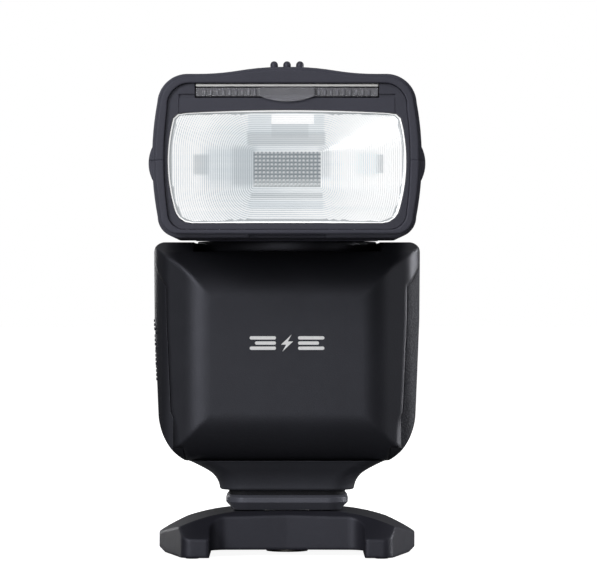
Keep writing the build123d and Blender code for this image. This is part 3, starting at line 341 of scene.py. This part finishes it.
g = Graph("panel_clear")
streaks = g.noise(1.0, 2.0, 0.5, g.mapped(Scale=(90, 30, 60)))
dressed(g.set(Base_Color=g.between(streaks, (0.52, 0.52, 0.57), (0.60, 0.60, 0.66)),
              Roughness=g.spread(streaks, 0.3, 0.7, 0.10, 0.16), Transmission_Weight=0.7, IOR=1.49,
              Normal=g.bump(g.noise(900, 2.0), 0.008 * MM, normal=g.rounded(0.3 * MM))), "wide_panel")

g = Graph("panel_white")
clouds = g.noise(240, 3.0)
dressed(g.set(Base_Color=g.between(clouds, (0.80, 0.80, 0.79), (0.90, 0.90, 0.89)),
              Roughness=g.spread(clouds, 0.3, 0.7, 0.30, 0.42), Normal=g.bump(g.noise(2600), 0.01 * MM)),
        "catchlight_panel", "tube_grips")

g = Graph("tube_glass")
haze = g.noise(600, 3.0)
dressed(g.set(Base_Color=g.between(haze, (0.86, 0.90, 0.93), (0.97, 0.98, 1.0)), Roughness=0.06,
              Transmission_Weight=0.7, IOR=1.46, Normal=g.bump(haze, 0.01 * MM)), "flash_tube")

g = Graph("board_green")
layout = {"Vector": g.mapped(Rotation=UPRIGHT), "Scale": 260.0, "Mortar Size": 0.06, "Mortar Smooth": 0.2}
tracks = g.make("TexBrick", layout).outputs["Fac"]
board = g.between(g.noise(1800, 2.0), (0.006, 0.045, 0.018), (0.010, 0.062, 0.026))
dressed(g.set(Base_Color=g.mix(tracks, board, (0.03, 0.16, 0.07)), Roughness=0.4,
              Normal=g.bump(tracks, 0.03 * MM)), "main_board", "keypad_board")

g = Graph("capacitor_sleeve")
shrink = g.noise(320, 4.0, 0.6)
dressed(g.set(Base_Color=g.between(shrink, (0.010, 0.014, 0.035), (0.016, 0.022, 0.050)),
              Roughness=g.spread(shrink, 0.3, 0.7, 0.22, 0.38), Normal=g.bump(shrink, 0.05 * MM)),
        "main_capacitor")

g = Graph("cell_sleeve")
cell_z = g.axes()[2]
scuffs = g.noise(500, 4.0, 0.65)
sleeve = g.between(scuffs, (0.02, 0.02, 0.022), (0.05, 0.05, 0.055), 0.4, 0.7)
dressed(g.set(Base_Color=g.mix(g.spread(cell_z, CELL_CAP_Z, CELL_LINE_Z), sleeve, (0.45, 0.24, 0.08)),
              Roughness=g.spread(scuffs, 0.3, 0.7, 0.25, 0.4), Normal=g.bump(scuffs, 0.01 * MM)), "aa_cells")

g = Graph("window_clear")
smudge = g.noise(90, 4.0, 0.6)
dressed(g.set(Base_Color=(0.85, 0.87, 0.88), Roughness=g.spread(smudge, 0.35, 0.7, 0.02, 0.06),
              Alpha=0.12, Specular_IOR_Level=0.5, Normal=g.bump(smudge, 0.01 * MM)), "display_window")

g = Graph("display_grey")
layout = {"Vector": g.mapped(Rotation=UPRIGHT), "Scale": 900.0, "Mortar Size": 0.04}
pixels = g.make("TexBrick", layout, offset=0.0).outputs["Fac"]
lit = g.between(g.noise(60, 2.0), (0.30, 0.33, 0.29), (0.36, 0.39, 0.34))
dressed(g.set(Base_Color=g.mix(pixels, lit, (0.24, 0.27, 0.24)), Roughness=0.35), "display_module")

g = Graph("lamp_plastic")
cloud = g.noise(400, 2.0)
dressed(g.set(Base_Color=g.between(cloud, (0.26, 0.05, 0.025), (0.36, 0.08, 0.035)), Roughness=0.22,
              Transmission_Weight=0.25, Coat_Weight=0.5, Normal=g.bump(cloud, 0.02 * MM)), "test_button")


# ---------------------------------------------------------------- mesh helpers
INK_DROP = 5 * MM
INK_THICKNESS = 0.02 * MM
CUT_ROUNDS = 5
CAP_STEPS = 5


def piece(name, shape, materials, body, slot):
    mesh = bpy.data.meshes.new(name)
    shape.to_mesh(mesh)
    shape.free()
    thing = bpy.data.objects.new(name, mesh)
    scene.collection.objects.link(thing)
    for material in materials:
        mesh.materials.append(material)
    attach(thing, body)
    return thing


def tree_of(node):
    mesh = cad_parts[node].data
    return BVHTree.FromPolygons([v.co for v in mesh.vertices], [list(p.vertices) for p in mesh.polygons])


def printed(name, outlines, node, body, slot, ink, origin, right, lift=0.03 * MM, cut=0.6 * MM):
    """Thin ink laid on a node's surface, in outlines of millimetres about origin, along right and up."""
    right, up = Vector(right).normalized(), Vector(UP)
    out = right.cross(up)
    tree = tree_of(node)
    shape = bmesh.new()
    for outline in outlines:
        shape.faces.new([shape.verts.new((a * MM, b * MM, 0)) for a, b in outline])
    bmesh.ops.triangulate(shape, faces=shape.faces[:])
    for _ in range(CUT_ROUNDS):
        long = [e for e in shape.edges if e.calc_length() > 2 * cut]
        if not long:
            break
        bmesh.ops.subdivide_edges(shape, edges=long, cuts=1)
        bmesh.ops.triangulate(shape, faces=shape.faces[:])
    for v in shape.verts:
        start = Vector(origin) + right * v.co.x + up * v.co.y + out * INK_DROP
        hit = tree.ray_cast(start, -out)[0]
        v.co = (hit if hit else start - out * INK_DROP) + out * lift
    for f in shape.faces:
        f.normal_update()
        if f.normal.dot(out) < 0:
            f.normal_flip()
    rim = bmesh.ops.extrude_face_region(shape, geom=shape.faces[:])
    for v in [v for v in rim["geom"] if isinstance(v, bmesh.types.BMVert)]:
        v.co += out * INK_THICKNESS
    bmesh.ops.recalc_face_normals(shape, faces=shape.faces[:])
    piece(name, shape, [ink], body, slot)


def bar(x, y, width, height, cap=0.0):
    """A bar about (x, y), with its corners rounded by cap."""
    w, h = width / 2, height / 2
    if not cap:
        return [(x - w, y - h), (x + w, y - h), (x + w, y + h), (x - w, y + h)]
    points = []
    for cx, cy, start in ((w - cap, -h + cap, -90), (w - cap, h - cap, 0), (-w + cap, h - cap, 90),
                          (-w + cap, -h + cap, 180)):
        for step in range(CAP_STEPS + 1):
            a = math.radians(start + 90 * step / CAP_STEPS)
            points.append((x + cx + cap * math.cos(a), y + cy + cap * math.sin(a)))
    return points


def disc(x, y, radius, sides=24):
    return [(x + radius * math.cos(2 * math.pi * k / sides), y + radius * math.sin(2 * math.pi * k / sides))
            for k in range(sides)]


# ---------------------------------------------------------------- Fresnel lens
lens_low, lens_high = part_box("fresnel_lens")
LENS_FACE = lens_low.y
RIDGE_PITCH = 0.58 * MM
RIDGE_DEPTH = 0.07 * MM
RIDGE_SLOPE = 0.86
RIDGE_FOOT = LENS_FACE + 0.28 * MM
LENS_TIP = LENS_FACE + 0.02 * MM
RIM = 0.75 * MM
RIM_FOOT = LENS_FACE + 0.24 * MM
RIM_LINE = 0.40 * MM
RIM_STEP = LENS_FACE + 0.10 * MM
RIM_GAP = 0.06 * MM
CELL_COLS, CELL_ROWS = 17, 9
CORE_X, CORE_Z = 9.1 * MM, 4.8 * MM
CORE_DROP = 0.75 * MM
FAN = 24
FIELD, EDGE, CORE, GROOVE = range(4)
lens_z = (lens_low.z + lens_high.z) / 2 - CORE_DROP

front = [v.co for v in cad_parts["fresnel_lens"].data.vertices if v.co.y < LENS_FACE + 0.01 * MM]
outline = sorted({(round(v.x, 6), round(v.z, 6)) for v in front},
                 key=lambda p: math.atan2(p[1] - lens_z, p[0]))


def reach(px, pz, nx, nz):
    """How far the lens goes from a point in a direction."""
    best = 0.0
    for (ax, az), (bx, bz) in zip(outline, outline[1:] + outline[:1]):
        ex, ez = bx - ax, bz - az
        det = nx * -ez + nz * ex
        if abs(det) < 1e-12:
            continue
        t = ((ax - px) * -ez + (az - pz) * ex) / det
        u = (nx * (az - pz) - nz * (ax - px)) / det
        if -1e-9 <= u <= 1 + 1e-9 and t > best:
            best = t
    return best


# rays run out from the edge of the core: a fan at each corner, then one from each cell boundary of a side
rays = []
for corner, (sx, sz) in enumerate(((1, 1), (-1, 1), (-1, -1), (1, -1))):
    for k in range(FAN + 1):
        a = math.radians(90 * corner + 90 * k / FAN)
        rays.append((sx * CORE_X, lens_z + sz * CORE_Z, math.cos(a), math.sin(a)))
    along_x = corner % 2 == 0
    steps = CELL_COLS if along_x else CELL_ROWS
    for k in range(1, steps):
        share = k / steps
        if along_x:
            rays.append((sx * CORE_X * (1 - 2 * share), lens_z + sz * CORE_Z, 0.0, float(sz)))
        else:
            rays.append((sx * CORE_X, lens_z + sz * CORE_Z * (1 - 2 * share), float(sx), 0.0))

limits = [reach(*ray) for ray in rays]
levels = [(0.0, 0.0)]
for k in range(int(max(limits) / RIDGE_PITCH) + 2):
    levels.append(((k + RIDGE_SLOPE) * RIDGE_PITCH, -RIDGE_DEPTH))
    levels.append(((k + 1.0) * RIDGE_PITCH, 0.0))

lens = bmesh.new()
columns = []
for (px, pz, nx, nz), limit in zip(rays, limits):
    column = []
    inner = limit - RIM
    for d, drop in levels:
        if d < inner:
            column.append(lens.verts.new((px + nx * d, RIDGE_FOOT + drop, pz + nz * d)))
        else:
            column.append(None)
    edge = [lens.verts.new((px + nx * d, y, pz + nz * d)) for d, y in (
        (inner, RIM_FOOT), (limit - RIM_LINE, RIM_STEP), (limit - RIM_GAP, LENS_TIP),
        (limit - RIM_GAP, lens_high.y))]
    columns.append((column, edge))
for (first, first_edge), (second, second_edge) in zip(columns, columns[1:] + columns[:1]):
    last_a = last_b = None
    for a, b in zip(first, second):
        if last_a is not None:
            ring = [last_a, a or last_a, b or last_b, last_b]
            ring = [v for k, v in enumerate(ring) if v not in ring[:k]]
            if len(ring) >= 3:
                lens.faces.new(ring)
        last_a, last_b = a or last_a, b or last_b
    chain = [(last_a, last_b)] + list(zip(first_edge, second_edge))
    for (a, b), (c, d), look in zip(chain, chain[1:], (GROOVE, GROOVE, EDGE, EDGE)):
        lens.faces.new((a, c, d, b)).material_index = look
lens.faces.new([edge[-1] for column, edge in columns]).material_index = EDGE

# the core is a grid of small pyramids
cell_w, cell_h = 2 * CORE_X / CELL_COLS, 2 * CORE_Z / CELL_ROWS


def core_point(i, j, y):
    return lens.verts.new((-CORE_X + i * cell_w, y, lens_z - CORE_Z + j * cell_h))


grid = {(i, j): core_point(i, j, RIDGE_FOOT) for i in range(CELL_COLS + 1) for j in range(CELL_ROWS + 1)}
for i in range(CELL_COLS):
    for j in range(CELL_ROWS):
        tip = core_point(i + 0.5, j + 0.5, LENS_TIP)
        ring = [grid[i, j], grid[i + 1, j], grid[i + 1, j + 1], grid[i, j + 1]]
        for a, b in zip(ring, ring[1:] + ring[:1]):
            lens.faces.new((a, b, tip)).material_index = CORE
bmesh.ops.remove_doubles(lens, verts=lens.verts[:], dist=0.001 * MM)
bmesh.ops.dissolve_degenerate(lens, dist=0.0001 * MM, edges=lens.edges[:])
bmesh.ops.recalc_face_normals(lens, faces=lens.faces[:])

# colours painted into the lens: painted reflections, painted shade on the risers and in the grooves, painted
# highlights on the rim and the core cells
WHITE = (1.0, 1.0, 1.0)
CLEAR, PALE, BLUE, GREY = (0.93, 0.93, 0.93), (0.74, 0.78, 0.80), (0.52, 0.58, 0.62), (0.34, 0.37, 0.39)
RISER_SHADE, GROOVE_SHADE = (0.34, 0.38, 0.41), (0.42, 0.45, 0.47)
CELL_HIGHLIGHT, CELL_UPPER_SHADE, CELL_LOWER_LIT = (0.86, 0.88, 0.90), (0.33, 0.37, 0.40), (0.62, 0.66, 0.68)
# painted reflections of the reflector and tube seen through the lens, as patches in millimetres: x from and
# to, z from and to, softness; shade and strength
PAINTED_PATCHES = (
    (-24.8, -21.6, 107.6, 112.2, 0.9, GREY, 0.55), (-21.0, -10.0, 106.6, 113.0, 3.2, BLUE, 0.45),
    (24.2, 25.8, 107.8, 112.4, 0.5, GREY, 0.6), (19.5, 24.0, 107.6, 112.6, 1.6, PALE, 0.8),
    (-10.4, 10.0, 115.4, 118.4, 0.7, GREY, 0.50), (-10.2, 9.8, 118.6, 123.2, 0.6, BLUE, 0.40),
    (-4.0, 5.6, 117.4, 121.0, 0.4, GREY, 0.25), (-9.6, 9.4, 101.0, 102.0, 0.5, GREY, 0.45),
    (-10.0, 9.4, 98.4, 99.6, 1.0, BLUE, 0.45), (-14.0, -9.2, 105.0, 114.0, 1.6, GREY, 0.42),
    (9.2, 11.2, 107.0, 114.0, 1.2, GREY, 0.30), (-4.1, 7.2, 121.0, 123.4, 0.15, WHITE, 1.0))


def lens_look(name, tone, painted_glow):
    """Clear acrylic over the bright reflector, with the reflector's glare, the tube's bands, the reflector's
    ends and the rings painted into its colour as painted reflections and shade, glowing with painted light.
    """
    g = Graph(name)
    x, _, z = g.axes()
    dz = g.math("SUBTRACT", z, lens_z)
    ox = g.math("MAXIMUM", g.math("SUBTRACT", g.math("ABSOLUTE", x), CORE_X), 0.0)
    oz = g.math("MAXIMUM", g.math("SUBTRACT", g.math("ABSOLUTE", dz), CORE_Z), 0.0)
    d = g.math("SQRT", g.math("ADD", g.times(ox, ox), g.times(oz, oz)))
    # streaks of painted reflection of the tube's bands, which also vary the gloss
    bands = g.noise(1.0, 3.0, 0.7, g.mapped(Scale=(18, 0, 900)))
    colour = g.mix(g.spread(bands, 0.35, 0.75, 0.0, 0.55), CLEAR, PALE)
    # painted reflection: a blue-grey cast round the core, stronger on the left
    side = g.spread(x, -26 * MM, 20 * MM, 1.0, 0.25)
    near = g.times(g.spread(d, 0.5 * MM, 15 * MM, 0.95, 0.0), side)
    colour = g.mix(g.times(near, g.spread(bands, 0.2, 0.7, 0.6, 1.0)), colour, BLUE)
    for x0, x1, z0, z1, soft, shade, strength in PAINTED_PATCHES:
        x0, x1, z0, z1, soft = x0 * MM, x1 * MM, z0 * MM, z1 * MM, soft * MM
        across = g.times(g.spread(x, x0 - soft, x0), g.spread(x, x1, x1 + soft, 1.0, 0.0))
        along = g.times(g.spread(z, z0 - soft, z0), g.spread(z, z1, z1 + soft, 1.0, 0.0))
        colour = g.mix(g.times(g.times(across, along), strength), colour, shade)
    # painted shade: the risers of the ridges are darker lines, stronger on the left
    phase = g.math("FRACT", g.math("DIVIDE", d, RIDGE_PITCH))
    line = g.times(g.spread(phase, 0.45, 0.80), g.spread(d, 0.0, 0.4 * MM))
    strength = g.spread(g.noise(60, 2.0), 0.3, 0.7, 0.5, 0.85)
    strength = g.times(strength, g.spread(x, -4 * MM, 18 * MM, 1.0, 0.5))
    colour = g.mix(g.times(line, strength), colour, RISER_SHADE)
    if tone == CORE:
        # painted highlights: a pale tick in each core cell, over painted shade that is lighter on the lower
        # rows
        col = g.math("FRACT", g.math("DIVIDE", g.math("ADD", x, CORE_X), cell_w))
        row = g.math("FRACT", g.math("DIVIDE", g.math("ADD", dz, CORE_Z), cell_h))
        tick = g.times(g.spread(col, 0.25, 0.6), g.spread(row, 0.3, 0.6))
        tint = g.mix(g.spread(z, 104.5 * MM, 106.5 * MM), CELL_LOWER_LIT, CELL_UPPER_SHADE)
        colour = g.mix(g.times(tick, 0.75), tint, CELL_HIGHLIGHT)
    # painted highlight on the rim, which is nearly white, and painted shade in the grooves, which are grey
    if tone == EDGE:
        colour = g.mix(0.85, colour, WHITE)
    if tone == GROOVE:
        colour = g.mix(0.75, colour, GROOVE_SHADE)
    return g.set(Base_Color=colour, Roughness=g.spread(bands, 0.3, 0.7, 0.10, 0.2), Specular_IOR_Level=0.5,
                 Coat_Weight=0.6, Coat_Roughness=0.08, Emission_Color=colour, Emission_Strength=painted_glow)


# one material per look, in the order of FIELD, EDGE, CORE, GROOVE, each glowing with its own strength of
# painted light
lens_looks = [lens_look("lens_acrylic", FIELD, 0.42), lens_look("lens_edge", EDGE, 0.6),
              lens_look("lens_core", CORE, 0.10), lens_look("lens_groove", GROOVE, 0.15)]
lens_piece = piece("fresnel_ridges", lens, lens_looks, "head", "lens_acrylic")
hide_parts("fresnel_lens")

# ---------------------------------------------------------------- ribs along the wide panel's front edge
panel_low, panel_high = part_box("wide_panel")
RIB_PITCH, RIB_R, LIP_HALF = 1.7 * MM, 0.42 * MM, 8.6 * MM
RIB_MARGIN = 1.2 * MM
RIB_SETBACK = 1.4 * MM
RIB_FLATNESS = 0.8
RIB_STEPS = 6
# distance under the panel's top in millimetres, and the rib's size there
RIB_LEVELS = ((2.15, 0.5), (1.9, 1.0), (0.7, 1.0), (0.35, 0.4))
rib_face = panel_low.y + RIB_SETBACK
ribs = bmesh.new()
for side in (-1, 1):
    x = LIP_HALF
    while x < panel_high.x - RIB_MARGIN:
        rows = []
        for down, size in RIB_LEVELS:
            turns = [math.pi * k / RIB_STEPS for k in range(RIB_STEPS + 1)]
            rows.append([ribs.verts.new((side * x + RIB_R * size * math.cos(a),
                                         rib_face - RIB_R * RIB_FLATNESS * size * math.sin(a),
                                         panel_high.z - down * MM)) for a in turns])
        for low_row, high_row in zip(rows, rows[1:]):
            for k in range(RIB_STEPS):
                ribs.faces.new((low_row[k], low_row[k + 1], high_row[k + 1], high_row[k]))
        ribs.faces.new(rows[0])
        ribs.faces.new(rows[-1])
        for low_row, high_row in zip(rows, rows[1:]):
            ribs.faces.new((low_row[0], high_row[0], high_row[-1], low_row[-1]))
        x += RIB_PITCH
bmesh.ops.recalc_face_normals(ribs, faces=ribs.faces[:])
g = Graph("rib_clear")
haze = g.noise(500, 3.0)
rib_look = g.set(Base_Color=g.between(haze, (0.20, 0.20, 0.23), (0.40, 0.40, 0.44)), Roughness=0.18,
                 Transmission_Weight=0.3, IOR=1.49, Normal=g.bump(haze, 0.02 * MM))
piece("panel_ribs", ribs, [rib_look], "wide_panel", "panel_clear")

# ---------------------------------------------------------------- printed marks
g = Graph("pale_ink")
speckle = g.noise(1500, 3.0)
pale_ink = g.set(Base_Color=g.between(speckle, (0.84, 0.84, 0.85), (0.92, 0.92, 0.93), 0.25, 0.7),
                 Roughness=0.5, Normal=g.bump(speckle, 0.01 * MM))
g = Graph("dark_ink")
speckle = g.noise(1500, 3.0)
dark_ink = g.set(Base_Color=g.between(speckle, (0.010, 0.012, 0.012), (0.022, 0.024, 0.024), 0.25, 0.7),
                 Roughness=0.4)

# a lightning bolt between two groups of bars, on the front
MARK_HEIGHT = 33.6 * MM
mark = [[(1.3, 2.4), (-1.7, -0.45), (-0.25, -0.45), (-1.3, -2.4), (1.7, 0.45), (0.25, 0.45)]]
for side in (-1, 1):
    for level, length in ((1.45, 7.4), (0.0, 5.9), (-1.45, 7.4)):
        mark.append(bar(side * (3.1 + length / 2), level, length, 0.95, 0.45))
body_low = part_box("body_front_cover")[0]
printed("front_mark", mark, "body_front_cover", "flash_body", "panel_white", pale_ink,
        (0, body_low.y, body_low.z + MARK_HEIGHT), (1, 0, 0))

# a small arrowhead on the battery door, where the door turns from the side to the front
DOOR_MARK = (-36.4 * MM, -22.0 * MM, 43.2 * MM)
ALONG_DOOR = (0.8, -0.6, 0)
printed("door_mark", [[(-0.75, 1.0), (0.75, 0.0), (-0.75, -0.6)]], "battery_door", "battery_door",
        "panel_white", pale_ink, DOOR_MARK, ALONG_DOOR)

# screen: generic bars and blocks on the display behind its window
BACK_RIGHT = (-1, 0, 0)
screen_low, screen_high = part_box("display_module")
segments = [bar(-16.4, 6.4, 5.0, 2.2, 0.3), bar(-9.6, 6.4, 5.6, 2.2, 0.3), bar(17.0, 6.4, 3.2, 1.8, 0.2),
            bar(0, 3.9, 38.0, 0.18)]
for k in range(13):
    segments.append(bar(-17.6 + 1.5 * k, 0.4 + 0.12 * k, 0.85, 1.6 + 0.24 * k))
for k in range(3):
    segments.append(bar(8.0 + 4.2 * k, 1.4, 3.2, 0.7, 0.2))
    segments.append(bar(8.0 + 4.2 * k, -1.2, 3.2, 0.7, 0.2))
segments.append(bar(0, -4.2, 38.0, 0.18))
for k in range(4):
    segments.append(bar(-14.4 + 9.6 * k, -6.5, 6.2, 2.0, 0.3))
printed("screen_segments", segments, "display_module", "flash_body", "display_grey", dark_ink,
        (0, screen_high.y, (screen_low.z + screen_high.z) / 2), BACK_RIGHT, lift=0.02 * MM)


def on_button(name, outlines, node):
    """A mark in the middle of a button on the back."""
    low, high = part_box(node)
    centre = ((low.x + high.x) / 2, high.y, (low.z + high.z) / 2)
    printed(name, outlines, node, node, "panel_white", pale_ink, centre, BACK_RIGHT, 0.02 * MM, 0.4 * MM)


for k in range(1, 5):
    sign = bar(0, 0, 2.4, 0.35) if k % 2 else disc(0, 0, 0.45)
    on_button(f"function_mark_{k}", [sign], f"function_button_{k}")
on_button("link_mark", [bar(-0.9, 0, 1.0, 0.4, 0.18), bar(0.9, 0, 1.0, 0.4, 0.18), disc(0, 0, 0.32)],
          "link_button")
on_button("menu_mark", [bar(0, 0.75, 2.4, 0.3), bar(0, 0, 2.4, 0.3), bar(0, -0.75, 2.4, 0.3)], "menu_button")
on_button("set_mark", [disc(0, 0, 0.7)], "set_button")
